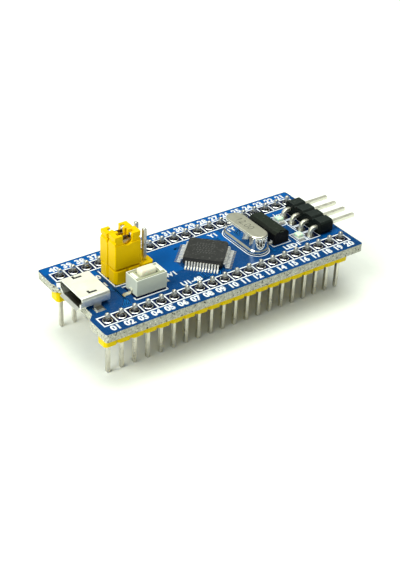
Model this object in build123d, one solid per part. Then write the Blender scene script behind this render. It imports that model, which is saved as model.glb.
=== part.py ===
from build123d import *
import math
import os

# Microcontroller dev board on two rows of header pins, in millimetres, +Z up.
# The origin is the centre of the two pin rows, at the plane of the pin tips.
# +X runs along the board from the USB socket to the debug header.
# +Y points to the back row of pins.

# --- Header pins and plastic ------------------------------------------------
pitch = 2.54
row_pins = 20
row_spacing = 15.24
pin_side = 0.64
pin_taper = 0.16
pin_reach = 6.0            # bare pin beyond the plastic, boot and debug headers
row_pin_reach = 5.8        # bare pin beyond the plastic, the two long rows
pin_stub = 1.4             # bare pin beyond the board, on the soldered side
plastic_height = 2.5       # boot header
row_plastic_height = 2.8   # the two long rows
plastic_depth = 2.5
plastic_notch = 0.42       # corner cut of each one-pin unit

# --- Board --------------------------------------------------------------------
board_length = 52.95
board_width = 22.2
board_thickness = 1.5
board_corner = 0.45
recess_depth = 1.15        # shallow recess in the edge under the USB socket
recess_width = 9.8
recess_slope = 1.2
copper = 0.035
plating = 0.025
pin_hole_gap = 0.0475      # corner of a pin to its drilled hole
pin_ring = 0.36            # width of the copper ring round a pin's hole
pin_drill_r = pin_side * math.sqrt(0.5) + pin_hole_gap
pin_ring_r = pin_drill_r + pin_ring
joint_height = 0.55        # solder fillet beyond the ring
joint_sag = 0.3            # share of the fillet's width and height at its middle
joint_neck_gap = 0.03      # solder beyond the corner of the pin at the fillet's end

# --- Boot header and its two jumper caps ----------------------------------------
boot_x = -14.09
boot_y = 2.67
boot_columns = 3
boot_rows = 2
cap_length = 5.0
cap_depth = 2.34
cap_height = 6.0
cap_step_z = 4.4           # the grip above this height is thinner
cap_grip_depth = 1.98
cap_roof = 1.0
cap_wall = 0.55
cap_end_wall = 0.5
cap_groove = 0.32
cap_groove_z = 5.0
cap_notch_width = 1.9
cap_notch_depth = 1.85
cap_slit = 0.36
cap_hole_clearance = 0.05
cap_seat_gap = 0.05        # back cap above the header plastic
front_cap_gap = 0.4        # front cap, not pushed fully home
clip_thickness = 0.2
clip_pin_gap = 0.04
clip_bridge_length = 1.1
clip_bridge_height = 0.75
clip_end_gap = 0.2

# --- Debug header -----------------------------------------------------------------
debug_pins = 4
debug_hole_x = 20.2
debug_y = -0.1
debug_plastic_x = 21.6     # inner face of the plastic
debug_plastic_length = 2.8 # along the pins
debug_bend_r = 0.75

# --- USB socket ---------------------------------------------------------------------
usb_y = -0.1
usb_set_back = 0.075       # straight shell behind the end of the board; its lips reach beyond
usb_length = 5.15
usb_width = 7.3
usb_height = 2.5
usb_wall = 0.25
usb_corner = 0.55
usb_chamfer_y = 0.95
usb_chamfer_z = 0.9
usb_lip = 0.42
usb_lip_rise = 0.28
usb_lip_slit = 0.35
usb_tab_width = 1.3
usb_tab_reach = 0.95
usb_tab_from_back = 2.35   # centre of the tab from the back of the shell
usb_slot_length = 1.6
usb_slot_width = 0.42
usb_slot_spread = 4.9
usb_slot_from_front = 1.75
usb_tongue_width = 4.8
usb_tongue_thickness = 0.75
usb_tongue_z = 1.2         # underside of the tongue above the shell's underside
usb_tongue_front = 0.75    # tongue set back from the front of the shell
usb_block = 1.1            # solid plastic at the back
usb_contact_count = 5
usb_contact_pitch = 0.65
usb_contact_width = 0.3
usb_contact_thickness = 0.12
usb_tail_reach = 0.75
usb_front_x = usb_set_back - board_length / 2
usb_back_x = usb_front_x + usb_length

# --- Reset switch ---------------------------------------------------------------------
reset_x = -13.87
reset_y = -2.98
reset_length = 5.86
reset_depth = 3.45
reset_height = 3.15
reset_standoff = 0.15
reset_floor = 0.6
reset_rim = 0.18
reset_recess = 0.05        # cover plate below the rim
cover_thickness = 0.35
cover_gap = 0.12           # between the plate's edge and the rim
reset_cavity_length = 3.9
reset_cavity_depth = 2.7
stake_length = 0.6
stake_depth = 1.95
stake_spread = 4.7
stake_proud = 0.1
button_length = 3.1
button_depth = 1.7
button_proud = 0.97        # button above the cover plate
button_flange = 0.3
button_flange_thickness = 0.35
button_fillet = 0.4
button_gap = 0.06          # running gap between button and cover slot
button_travel = 0.25
dome_width = 1.2
dome_span = 2.2
dome_rise = 0.5
dome_thickness = 0.08
dome_foot = 0.12           # length of each end of the strip that stands on a rail
press_nub_r = 0.4          # under the button, on the middle of the dome
terminal_thickness = 0.15
terminal_width = 0.8
terminal_reach = 1.35

# --- Processor, a square package turned 45 degrees ---------------------------------------
mcu_x = 0.1
mcu_y = -0.15
mcu_size = 7.0
mcu_height = 1.4
mcu_standoff = 0.1
mcu_draft = 0.1
mcu_corner = 0.35
mcu_leads_per_side = 12
mcu_lead_pitch = 0.5
mcu_lead_width = 0.27
mcu_lead_thickness = 0.13
mcu_lead_span = 9.1
mcu_foot = 0.6
mcu_lead_root = 0.7        # lead inside the moulding
mcu_dimple_r = 0.33
mcu_dimple_depth = 0.08
mcu_dimple_inset = 0.85
mcu_pad_beyond = 0.4
die_size = 2.9
die_thickness = 0.3
die_pad_size = 4.0
die_pad_thickness = 0.13

# --- Main crystal, long side along Y --------------------------------------------------------
crystal_x = 9.1
crystal_y = 0.35
crystal_length = 10.4
crystal_width = 4.15
crystal_can_length = 10.0
crystal_can_width = 3.55
crystal_height = 3.4       # top of the can above the board
crystal_standoff = 0.15
crystal_flange = 0.25      # thickness of each of the two flanges
crystal_wall = 0.25
crystal_corner = 0.35
crystal_lead_r = 0.215
crystal_lead_spacing = 4.88
crystal_seal_r = 0.55
crystal_drill_r = 0.4
crystal_ring_r = 0.75
crystal_lead_stub = 1.2
blank_length = 6.6
blank_height = 1.7
blank_thickness = 0.16
holder_width = 0.6
holder_height = 1.1

# --- Clock crystal, long side along Y -------------------------------------------------------
clock_x = 14.1
clock_y = 0.35
clock_length = 7.6
clock_width = 3.1
clock_height = 2.45
clock_bevel = 0.5
clock_tube_r = 0.75
clock_tube_length = 5.8
clock_tab_width = 0.6
clock_tab_reach = 0.35
clock_tab_thickness = 0.2
clock_tab_inset = 0.95
clock_notch_r = 0.45

# --- Indicator LEDs, long side along Y -----------------------------------------------------
led_places = [(17.95, -3.45), (18.5, 2.9)]
led_length = 2.0
led_width = 1.25
led_base = 0.35
led_height = 0.85
led_end = 0.32

# --- Underside parts --------------------------------------------------------------------------
regulator_x = -20.4
regulator_y = 2.6
regulator_length = 2.9
regulator_width = 1.6
regulator_height = 1.1
regulator_span = 2.8
regulator_pitch = 0.95
regulator_lead_width = 0.4
regulator_lead_thickness = 0.15
regulator_standoff = 0.075
regulator_pad_length = 0.6
chip_length = 1.6
chip_width = 0.8
chip_end = 0.3
resistor_height = 0.45
capacitor_height = 0.8
chip_pitch = 2.2
chip_columns = 6
resistor_x = -7.6          # first column
resistor_rows_y = (-4.6, 4.6)
capacitor_x = -5.4
capacitor_rows_y = (-1.6, 1.6)

# --- Levels -------------------------------------------------------------------------------------
plastic_z = row_pin_reach                          # underside of both row plastics
board_z = plastic_z + row_plastic_height + copper  # underside of the board
top_z = board_z + board_thickness                  # upper face of the board
pad_z = top_z + copper                             # upper face of the top pads
under_z = board_z - copper                         # lower face of the bottom pads
through = board_thickness + 2 * copper
pin_bore_r = pin_drill_r - plating
pin_corner_r = pin_side * math.sqrt(0.5)


def save(name, pieces):
    export_step(Compound(children=list(pieces)), f"parts/{name}.step")


def block(x0, x1, y0, y1, z0, z1):
    box = Box(x1 - x0, y1 - y0, z1 - z0)
    return Pos((x0 + x1) / 2, (y0 + y1) / 2, (z0 + z1) / 2) * box


def centred_block(x, y, length, depth, z0, z1):
    return block(x - length / 2, x + length / 2, y - depth / 2, y + depth / 2, z0, z1)


def rounded_block(length, depth, z0, z1, radius):
    """Block over the origin with its upright edges rounded."""
    box = centred_block(0, 0, length, depth, z0, z1)
    return fillet(box.edges().filter_by(Axis.Z), radius)


def oblong(length, width, z0, z1):
    """Upright oblong with its long side along Y."""
    outline = Rot(0, 0, 90) * SlotOverall(length, width)
    return Pos(0, 0, z0) * extrude(outline, z1 - z0)


def side_profile(points, y, width):
    """Solid of a closed X-Z outline, centred on y and as wide as given."""
    outline = Plane.XZ * make_face(Polyline(*points, close=True))
    return Pos(0, y + width / 2, 0) * extrude(outline, width)


# --- Places -------------------------------------------------------------------------------------
def row_places(y):
    first = -(row_pins - 1) / 2 * pitch
    return [(first + i * pitch, y) for i in range(row_pins)]


front_places = row_places(-row_spacing / 2)
back_places = row_places(row_spacing / 2)
boot_places = [
    (boot_x + (i - (boot_columns - 1) / 2) * pitch, boot_y + (j - (boot_rows - 1) / 2) * pitch)
    for j in range(boot_rows)
    for i in range(boot_columns)
]
debug_places = [
    (debug_hole_x, debug_y + (i - (debug_pins - 1) / 2) * pitch) for i in range(debug_pins)
]
crystal_places = [
    (crystal_x, crystal_y + side * crystal_lead_spacing / 2) for side in (-1, 1)
]
pin_places = front_places + back_places + boot_places + debug_places


# --- Board --------------------------------------------------------------------------------------
def board():
    half_length = board_length / 2
    half_width = board_width / 2
    inner_x = recess_depth - half_length
    inner_y = recess_width / 2
    outer_y = inner_y + recess_slope
    corners = [
        (-half_length, -half_width),
        (half_length, -half_width),
        (half_length, half_width),
        (-half_length, half_width),
        (-half_length, outer_y),
        (inner_x, inner_y),
        (inner_x, -inner_y),
        (-half_length, -outer_y),
    ]
    outline = make_face(Polyline(*corners, close=True))
    outline = fillet(outline.vertices(), board_corner)
    holes = [Pos(x, y) * Circle(pin_drill_r) for x, y in pin_places]
    holes += [Pos(x, y) * Circle(crystal_drill_r) for x, y in crystal_places]
    return Pos(0, 0, board_z) * extrude(outline - holes, board_thickness)


def plated_hole(drill_r, ring_r):
    wall = Cylinder(drill_r, through)
    for side in (-1, 1):
        wall += Pos(0, 0, side * (through - copper) / 2) * Cylinder(ring_r, copper)
    return wall - Cylinder(drill_r - plating, through)


def plated_holes():
    middle = (board_z + top_z) / 2
    pin_hole = plated_hole(pin_drill_r, pin_ring_r)
    lead_hole = plated_hole(crystal_drill_r, crystal_ring_r)
    holes = [Pos(x, y, middle) * pin_hole for x, y in pin_places]
    return holes + [Pos(x, y, middle) * lead_hole for x, y in crystal_places]


def solder_joint(bore_r, ring_r, neck_r, core):
    """Filled bore with a hollow fillet on top, round its core; its lower end is at z = 0."""
    base_r = ring_r - copper
    top = through + joint_height
    middle = (neck_r + (base_r - neck_r) * joint_sag, through + joint_height * joint_sag)
    profile = [
        Polyline((0, top), (0, 0), (bore_r, 0), (bore_r, through), (base_r, through)),
        ThreePointArc((base_r, through), middle, (neck_r, top)),
        Line((neck_r, top), (0, top)),
    ]
    return revolve(Plane.XZ * make_face(profile), Axis.Z) - core


def pin_joint():
    neck_r = pin_corner_r + joint_neck_gap
    core = Box(pin_side, pin_side, 2 * (through + joint_height))
    return solder_joint(pin_bore_r, pin_ring_r, neck_r, core)


def lead_joint():
    bore_r = crystal_drill_r - plating
    neck_r = crystal_lead_r + joint_neck_gap
    core = Cylinder(crystal_lead_r, 2 * (through + joint_height))
    return solder_joint(bore_r, crystal_ring_r, neck_r, core)


def joints_above(joint, places):
    return [Pos(x, y, under_z) * joint for x, y in places]


def joints_below(joint, places):
    turned = Rot(180, 0, 0) * joint
    return [Pos(x, y, pad_z) * turned for x, y in places]


# --- Headers ------------------------------------------------------------------------------------
def square_pin(bottom, top):
    pin = Pos(0, 0, (bottom + top) / 2) * Box(pin_side, pin_side, top - bottom)
    ends = pin.faces().sort_by(Axis.Z)
    return chamfer(ends[0].edges() + ends[-1].edges(), pin_taper)


def unit_outline(length, depth):
    unit = Rectangle(length, depth)
    return chamfer(unit.vertices(), plastic_notch)


def header_plastic(places, depth, bottom, height):
    units = Sketch() + [Pos(x, y) * unit_outline(pitch, depth) for x, y in places]
    units -= [Pos(x, y) * Rectangle(pin_side, pin_side) for x, y in places]
    return Pos(0, 0, bottom) * extrude(units, height)


def pins_at(places, bottom, top):
    pin = square_pin(bottom, top)
    return [Pos(x, y, 0) * pin for x, y in places]


def debug_plastic():
    """One-pin units side by side along Y; the pins pass through along X."""
    axis_z = pad_z + pitch / 2
    plane = Plane(origin=(debug_plastic_x, debug_y, axis_z), x_dir=(0, 1, 0), z_dir=(1, 0, 0))
    offsets = [y - debug_y for x, y in debug_places]
    units = Sketch() + [Pos(y, 0) * unit_outline(pitch, pitch) for y in offsets]
    units -= [Pos(y, 0) * Rectangle(pin_side, pin_side) for y in offsets]
    return extrude(plane * units, debug_plastic_length)


def debug_pin():
    """Square wire from its free end along X, bent down through the board, at y = 0."""
    half = pin_side / 2
    axis_z = pad_z + pitch / 2
    turn_x = debug_hole_x + debug_bend_r
    turn_z = axis_z - debug_bend_r
    tip_x = debug_plastic_x + debug_plastic_length + pin_reach
    foot_z = under_z - pin_stub
    flat = Pos((turn_x + tip_x) / 2, axis_z) * Rectangle(tip_x - turn_x, pin_side)
    leg = Pos(debug_hole_x, (foot_z + turn_z) / 2) * Rectangle(pin_side, turn_z - foot_z)
    bend = Circle(debug_bend_r + half) - Circle(debug_bend_r - half)
    quarter = Pos(-debug_bend_r, debug_bend_r) * Rectangle(2 * debug_bend_r, 2 * debug_bend_r)
    outline = flat + leg + Pos(turn_x, turn_z) * (bend & quarter)
    pin = Pos(0, half, 0) * extrude(Plane.XZ * outline, pin_side)
    ends = pin.faces().sort_by(Axis.X)[-1].edges() + pin.faces().sort_by(Axis.Z)[0].edges()
    return chamfer(ends, pin_taper)


# --- Jumper caps ----------------------------------------------------------------------------------
def jumper_places():
    """Centre of each cap: across the first two columns, one cap for each row of pins."""
    x = boot_x - pitch / 2
    return [(x, y) for y in sorted({place[1] for place in boot_places})]


def jumper_cap():
    """Cap with its open end at z = 0; the pins enter at half a pitch each side of x = 0."""
    half_length = cap_length / 2
    corner = cap_groove / 2
    body = rounded_block(cap_length, cap_depth, 0, cap_step_z, corner)
    body += rounded_block(cap_length, cap_grip_depth, cap_step_z, cap_height, corner)
    groove = Rot(0, 45, 0) * Box(cap_groove * math.sqrt(2), cap_depth, cap_groove * math.sqrt(2))
    for side in (-1, 1):
        body -= Pos(side * half_length, 0, cap_groove_z) * groove
    inner_length = cap_length - 2 * cap_end_wall
    inner_depth = cap_depth - 2 * cap_wall
    body -= centred_block(0, 0, inner_length, inner_depth, 0, cap_height - cap_roof)
    notch_z = cap_height - cap_notch_depth + cap_notch_width / 2
    notch = centred_block(0, 0, cap_notch_width, cap_depth, notch_z, cap_height)
    notch += Pos(0, 0, notch_z) * Rot(90, 0, 0) * Cylinder(cap_notch_width / 2, cap_depth)
    body -= notch
    body -= centred_block(0, 0, pitch, cap_slit, 0, cap_height)
    opening = pin_side + 2 * cap_hole_clearance
    for side in (-1, 1):
        body -= centred_block(side * pitch / 2, 0, opening, opening, 0, cap_height)
    return body


def jumper_clip():
    """Two springy leaves against the cap's walls, joined over the middle."""
    inner_depth = cap_depth - 2 * cap_wall
    inner_length = cap_length - 2 * cap_end_wall
    top = cap_height - cap_roof
    leaf = inner_depth / 2 - pin_side / 2 - clip_pin_gap
    bottom = clip_end_gap
    outer = centred_block(0, 0, inner_length - 2 * clip_end_gap, inner_depth, bottom, top)
    outer -= centred_block(0, 0, inner_length, inner_depth - 2 * leaf, bottom, top)
    bridge_z = top - clip_bridge_height
    bridge = centred_block(0, 0, clip_bridge_length, inner_depth - 2 * leaf, bridge_z, top)
    bridge += centred_block(0, 0, clip_bridge_length, clip_thickness, top, top + cap_slit)
    return outer + bridge


# --- USB socket -----------------------------------------------------------------------------------
def usb_outline(inset):
    """Y-Z section of the shell, its lower corners cut, drawn from the shell's underside."""
    half = usb_width / 2 - inset
    low = inset
    high = usb_height - inset
    cut = inset * math.tan(math.radians(22.5))
    foot = half - usb_chamfer_y + cut
    waist = low + usb_chamfer_z - cut
    points = [(-foot, low), (foot, low), (half, waist), (half, high), (-half, high), (-half, waist)]
    outline = make_face(Polyline(*points, close=True))
    top_corners = outline.vertices().group_by(Axis.Y)[-1]
    return fillet(top_corners, usb_corner - inset)


def usb_plane(x):
    return Plane(origin=(x, usb_y, pad_z), x_dir=(0, 1, 0), z_dir=(1, 0, 0))


def usb_prism(inset, x0, x1):
    return extrude(usb_plane(x0) * usb_outline(inset), x1 - x0)


def usb_lips():
    """Flared lips: one below the mouth and one at each side."""
    slope = math.hypot(usb_lip, usb_lip_rise)
    angle = math.degrees(math.atan2(usb_lip_rise, usb_lip))
    root = usb_wall * usb_lip_rise / usb_lip
    length = slope + root
    centre_x = (root - slope) / 2
    low_width = usb_width - 2 * usb_chamfer_y
    low = Pos(centre_x, 0, usb_wall / 2) * Box(length, low_width, usb_wall)
    low = Rot(0, -angle, 0) * low
    lips = [Pos(usb_front_x, usb_y, pad_z) * low]
    tall = usb_height - usb_chamfer_z - usb_corner - usb_lip_slit / 2
    for side in (-1, 1):
        wall = Pos(centre_x, -side * usb_wall / 2, 0) * Box(length, usb_wall, tall)
        wall = Rot(0, 0, -side * angle) * wall
        middle = pad_z + usb_chamfer_z + tall / 2
        lips.append(Pos(usb_front_x, usb_y + side * usb_width / 2, middle) * wall)
    return lips


def usb_tab(side):
    """Strip from the side wall down to its pad, with a foot turned outwards."""
    x = usb_back_x - usb_tab_from_back
    wall_y = usb_y + side * usb_width / 2
    inner_y = wall_y - side * usb_wall
    outer_y = wall_y + side * usb_tab_reach
    x0, x1 = x - usb_tab_width / 2, x + usb_tab_width / 2
    leg = block(x0, x1, min(inner_y, wall_y), max(inner_y, wall_y), pad_z, pad_z + usb_chamfer_z)
    foot = block(x0, x1, min(inner_y, outer_y), max(inner_y, outer_y), pad_z, pad_z + usb_wall)
    return leg + foot


def usb_slot(y):
    """Slot in the top with a short leg at its front end."""
    x0 = usb_front_x + usb_slot_from_front
    x1 = x0 + usb_slot_length
    top = pad_z + usb_height
    long_cut = block(x0, x1, y, y + usb_slot_width, top - usb_wall, top)
    short_cut = block(x0, x0 + usb_slot_width, y, y + 2 * usb_slot_width, top - usb_wall, top)
    return long_cut + short_cut


def usb_shell():
    shell = usb_prism(0, usb_front_x, usb_back_x) - usb_prism(usb_wall, usb_front_x, usb_back_x)
    for side in (-1, 1):
        shell -= usb_slot(usb_y + side * usb_slot_spread / 2 - usb_slot_width / 2)
        shell += usb_tab(side)
    for lip in usb_lips():
        shell += lip
    return shell


def usb_contact(y):
    """Flat strip under the tongue, through the plastic and down to its pad."""
    t = usb_contact_thickness
    top = pad_z + usb_tongue_z
    x_front = usb_front_x + usb_tongue_front + 2 * t
    x_back = usb_back_x + 3 * t
    x_tail = usb_back_x + usb_tail_reach
    points = [
        (x_front, top - t),
        (x_back - t, top - t),
        (x_back - t, pad_z),
        (x_tail, pad_z),
        (x_tail, pad_z + t),
        (x_back, pad_z + t),
        (x_back, top),
        (x_front, top),
    ]
    return side_profile(points, y, usb_contact_width)


def usb_contacts():
    middle = (usb_contact_count - 1) / 2
    offsets = [(i - middle) * usb_contact_pitch for i in range(usb_contact_count)]
    return [usb_contact(usb_y + y) for y in offsets]


def usb_tongue(contacts):
    x0 = usb_back_x - usb_block
    plastic = usb_prism(usb_wall, x0, usb_back_x)
    bottom = pad_z + usb_tongue_z
    front = usb_front_x + usb_tongue_front
    length = x0 - front
    middle_x = (x0 + front) / 2
    plastic += centred_block(
        middle_x, usb_y, length, usb_tongue_width, bottom, bottom + usb_tongue_thickness
    )
    for contact in contacts:
        plastic -= contact
    return plastic


# --- Reset switch -----------------------------------------------------------------------------------
reset_z = pad_z + reset_standoff
reset_floor_z = reset_z + reset_floor
reset_top_z = pad_z + reset_height
cover_top_z = reset_top_z - reset_recess
cover_z = cover_top_z - cover_thickness
dome_z = reset_floor_z + terminal_thickness
reset_inner_length = reset_length - 2 * reset_rim
reset_inner_depth = reset_depth - 2 * reset_rim


def at_reset(piece):
    return Pos(reset_x, reset_y, 0) * piece


def reset_terminals():
    """Left terminal carries the dome's two feet, right terminal lies under its middle."""
    t = terminal_thickness
    low = reset_floor_z
    end = reset_length / 2
    reach = end + terminal_reach
    foot = [
        (end + t, pad_z),
        (reach, pad_z),
        (reach, pad_z + t),
        (end + 2 * t, pad_z + t),
        (end + 2 * t, low + t),
        (end - t, low + t),
        (end - t, low),
        (end + t, low),
    ]
    outside = side_profile(foot, 0, terminal_width)
    rail = reset_cavity_length / 2 - t
    middle = block(-press_nub_r, end - t, -terminal_width / 4, terminal_width / 4, low, low + t)
    right = outside + middle
    left = Rot(0, 0, 180) * outside
    yoke_x = reset_cavity_length / 2
    left += block(-end + t, -yoke_x + 2 * t, -terminal_width / 2, terminal_width / 2, low, low + t)
    rail_y = dome_span / 2
    left += block(-yoke_x + t, -yoke_x + 2 * t, -rail_y, rail_y, low, low + t)
    for side in (-1, 1):
        y0, y1 = sorted((side * (rail_y - 2 * t), side * rail_y))
        left += block(-yoke_x + t, rail / 2, y0, y1, low, low + t)
    return [at_reset(left), at_reset(right)]


def reset_base(terminals):
    body = rounded_block(reset_length, reset_depth, reset_z, reset_top_z, reset_rim / 2)
    body -= centred_block(0, 0, reset_inner_length, reset_inner_depth, cover_z, reset_top_z)
    body -= centred_block(0, 0, reset_cavity_length, reset_cavity_depth, reset_floor_z, cover_z)
    for side in (-1, 1):
        x = side * stake_spread / 2
        body += centred_block(x, 0, stake_length, stake_depth, cover_z, cover_top_z + stake_proud)
    body = at_reset(body)
    for terminal in terminals:
        body -= terminal
    return body


def reset_cover():
    length = reset_inner_length - 2 * cover_gap
    depth = reset_inner_depth - 2 * cover_gap
    plate = centred_block(0, 0, length, depth, cover_z, cover_top_z)
    for side in (-1, 1):
        x = side * stake_spread / 2
        plate -= centred_block(x, 0, stake_length, stake_depth, cover_z, cover_top_z)
    slot_length = button_length + 2 * button_gap
    slot_depth = button_depth + 2 * button_gap
    plate -= centred_block(0, 0, slot_length, slot_depth, cover_z, cover_top_z)
    return at_reset(plate)


def reset_button():
    top = cover_top_z + button_proud
    flange_top = cover_z - button_gap / 2
    flange_z = flange_top - button_flange_thickness
    stem = rounded_block(button_length, button_depth, flange_z, top, button_fillet)
    stem = fillet(stem.faces().sort_by(Axis.Z)[-1].edges(), button_fillet)
    flange_length = button_length + button_flange
    flange_depth = button_depth + button_flange
    stem += centred_block(0, 0, flange_length, flange_depth, flange_z, flange_top)
    dome_top = dome_z + dome_rise + dome_thickness
    nub_z = dome_top + button_gap / 4
    stem += Pos(0, 0, (nub_z + flange_z) / 2) * Cylinder(press_nub_r, flange_z - nub_z)
    return at_reset(stem)


def reset_dome():
    """Arched spring strip across Y, standing on the left terminal's rails."""
    half = dome_span / 2
    crest = dome_z + dome_rise
    outer = ThreePointArc((-half, dome_z), (0, crest + dome_thickness), (half, dome_z))
    inner = ThreePointArc((dome_foot - half, dome_z), (0, crest), (half - dome_foot, dome_z))
    left = Line((-half, dome_z), (dome_foot - half, dome_z))
    right = Line((half - dome_foot, dome_z), (half, dome_z))
    outline = make_face([outer, inner, left, right])
    plane = Plane(origin=(-dome_width / 2, 0, 0), x_dir=(0, 1, 0), z_dir=(1, 0, 0))
    return at_reset(extrude(plane * outline, dome_width))


# --- Processor ----------------------------------------------------------------------------------------
mcu_low_z = pad_z + mcu_standoff
mcu_mid_z = mcu_low_z + mcu_height / 2
mcu_top_z = mcu_low_z + mcu_height


def at_mcu(piece):
    return Pos(mcu_x, mcu_y, 0) * Rot(0, 0, 45) * piece


def mcu_section(z, inset):
    side = mcu_size - 2 * inset
    square = chamfer(Rectangle(side, side).vertices(), mcu_corner)
    return Pos(0, 0, z) * square


def mcu_lead_bars():
    """Leads of all four sides, each from its root in the moulding to its foot."""
    t = mcu_lead_thickness
    root = mcu_size / 2 - mcu_lead_root
    tip = mcu_lead_span / 2
    knee = tip - mcu_foot
    points = [
        (root, mcu_mid_z - t / 2),
        (knee - 2 * t, mcu_mid_z - t / 2),
        (knee - t / 2, pad_z),
        (tip, pad_z),
        (tip, pad_z + t),
        (knee + t / 2, pad_z + t),
        (knee - t, mcu_mid_z + t / 2),
        (root, mcu_mid_z + t / 2),
    ]
    middle = (mcu_leads_per_side - 1) / 2
    offsets = [(i - middle) * mcu_lead_pitch for i in range(mcu_leads_per_side)]
    side = [side_profile(points, y, mcu_lead_width) for y in offsets]
    return [Rot(0, 0, 90 * turn) * lead for turn in range(4) for lead in side]


def mcu_die_pad_block():
    top = mcu_mid_z
    return centred_block(0, 0, die_pad_size, die_pad_size, top - die_pad_thickness, top)


def mcu_die_block():
    return centred_block(0, 0, die_size, die_size, mcu_mid_z, mcu_mid_z + die_thickness)


def mcu_body(leads):
    lower = loft([mcu_section(mcu_low_z, mcu_draft), mcu_section(mcu_mid_z, 0)])
    upper = loft([mcu_section(mcu_mid_z, 0), mcu_section(mcu_top_z, mcu_draft)])
    body = lower + upper
    corner = mcu_size / 2 - mcu_dimple_inset
    body -= Pos(corner, -corner, mcu_top_z) * Cylinder(mcu_dimple_r, 2 * mcu_dimple_depth)
    body -= mcu_die_block()
    body -= mcu_die_pad_block()
    for lead in leads:
        body -= lead
    return body


# --- Main crystal --------------------------------------------------------------------------------------
crystal_z = pad_z + crystal_standoff
crystal_weld_z = crystal_z + crystal_flange
crystal_top_z = pad_z + crystal_height


def at_crystal(piece):
    return Pos(crystal_x, crystal_y, 0) * piece


def at_leads(piece):
    offset = crystal_lead_spacing / 2
    return [at_crystal(Pos(0, side * offset, 0) * piece) for side in (-1, 1)]


def crystal_can():
    shell = oblong(crystal_can_length, crystal_can_width, crystal_weld_z, crystal_top_z)
    shell = fillet(shell.faces().sort_by(Axis.Z)[-1].edges(), crystal_corner)
    flange_top = crystal_weld_z + crystal_flange
    shell += oblong(crystal_length, crystal_width, crystal_weld_z, flange_top)
    length = crystal_can_length - 2 * crystal_wall
    width = crystal_can_width - 2 * crystal_wall
    shell -= oblong(length, width, crystal_weld_z, crystal_top_z - crystal_wall)
    return at_crystal(shell)


def crystal_base():
    plate = oblong(crystal_length, crystal_width, crystal_z, crystal_weld_z)
    for side in (-1, 1):
        y = side * crystal_lead_spacing / 2
        plate -= Pos(0, y, crystal_z) * Cylinder(crystal_seal_r, 4 * crystal_flange)
    return at_crystal(plate)


def crystal_seals():
    middle = (crystal_z + crystal_weld_z) / 2
    seal = Cylinder(crystal_seal_r, crystal_flange) - Cylinder(crystal_lead_r, crystal_flange)
    return at_leads(Pos(0, 0, middle) * seal)


def crystal_leads():
    bottom = under_z - crystal_lead_stub
    top = crystal_weld_z + crystal_flange
    return at_leads(Pos(0, 0, (bottom + top) / 2) * Cylinder(crystal_lead_r, top - bottom))


holder_z = crystal_weld_z + crystal_flange
blank_z = holder_z + crystal_flange


def crystal_blank():
    blank = centred_block(0, 0, blank_thickness, blank_length, blank_z, blank_z + blank_height)
    return at_crystal(blank)


def crystal_holders(blank):
    holder = centred_block(0, 0, holder_width, holder_width, holder_z, holder_z + holder_height)
    return [piece - blank for piece in at_leads(holder)]


# --- Clock crystal -------------------------------------------------------------------------------------
clock_z = pad_z
clock_top_z = pad_z + clock_height


def at_clock(piece):
    return Pos(clock_x, clock_y, 0) * piece


def clock_tube():
    middle = (clock_z + clock_top_z) / 2
    return at_clock(Pos(0, 0, middle) * Rot(90, 0, 0) * Cylinder(clock_tube_r, clock_tube_length))


def clock_terminals():
    """Four L-shaped tabs that leave the long sides near the ends."""
    t = clock_tab_thickness
    half = clock_width / 2
    points = [
        (half - t, clock_z),
        (half + clock_tab_reach, clock_z),
        (half + clock_tab_reach, clock_z + t),
        (half, clock_z + t),
        (half, clock_z + 3 * t),
        (half - t, clock_z + 3 * t),
    ]
    y = clock_length / 2 - clock_tab_inset
    right = [side_profile(points, side * y, clock_tab_width) for side in (-1, 1)]
    left = [Rot(0, 0, 180) * tab for tab in right]
    return [at_clock(tab) for tab in right + left]


def clock_body(tube, terminals):
    body = centred_block(0, 0, clock_width, clock_length, clock_z, clock_top_z)
    long_edges = body.faces().sort_by(Axis.Z)[-1].edges().filter_by(Axis.Y)
    body = chamfer(long_edges, clock_bevel)
    notch = Pos(0, -clock_length / 2, clock_top_z) * Cylinder(clock_notch_r, clock_notch_r)
    body = at_clock(body - notch) - tube
    for terminal in terminals:
        body -= terminal
    return body


# --- LEDs ----------------------------------------------------------------------------------------------
def led_bases():
    inner = led_length - 2 * led_end
    return [centred_block(x, y, led_width, inner, pad_z, pad_z + led_base) for x, y in led_places]


def led_lenses():
    low = pad_z + led_base
    high = pad_z + led_height
    inner = led_length - 2 * led_end
    lens = centred_block(0, 0, led_width, inner, low, high)
    lens = chamfer(lens.faces().sort_by(Axis.Z)[-1].edges().filter_by(Axis.X), led_base / 3)
    return [Pos(x, y, 0) * lens for x, y in led_places]


def led_terminals():
    offset = (led_length - led_end) / 2
    high = pad_z + led_base
    return [
        centred_block(x, y + side * offset, led_width, led_end, pad_z, high)
        for x, y in led_places
        for side in (-1, 1)
    ]


# --- Underside parts -------------------------------------------------------------------------------------
def chip_places(first_x, rows_y):
    return [(first_x + i * chip_pitch, y) for y in rows_y for i in range(chip_columns)]


resistor_places = chip_places(resistor_x, resistor_rows_y)
capacitor_places = chip_places(capacitor_x, capacitor_rows_y)


def chip_bodies(places, height):
    inner = chip_length - 2 * chip_end
    return [centred_block(x, y, chip_width, inner, under_z - height, under_z) for x, y in places]


def chip_ends(places, height):
    offset = (chip_length - chip_end) / 2
    return [
        centred_block(x, y + side * offset, chip_width, chip_end, under_z - height, under_z)
        for x, y in places
        for side in (-1, 1)
    ]


def regulator_lead_offsets():
    """Three leads on one long side and two on the other."""
    right = [(1, i * regulator_pitch) for i in (-1, 0, 1)]
    return right + [(-1, i * regulator_pitch) for i in (-1, 1)]


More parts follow.
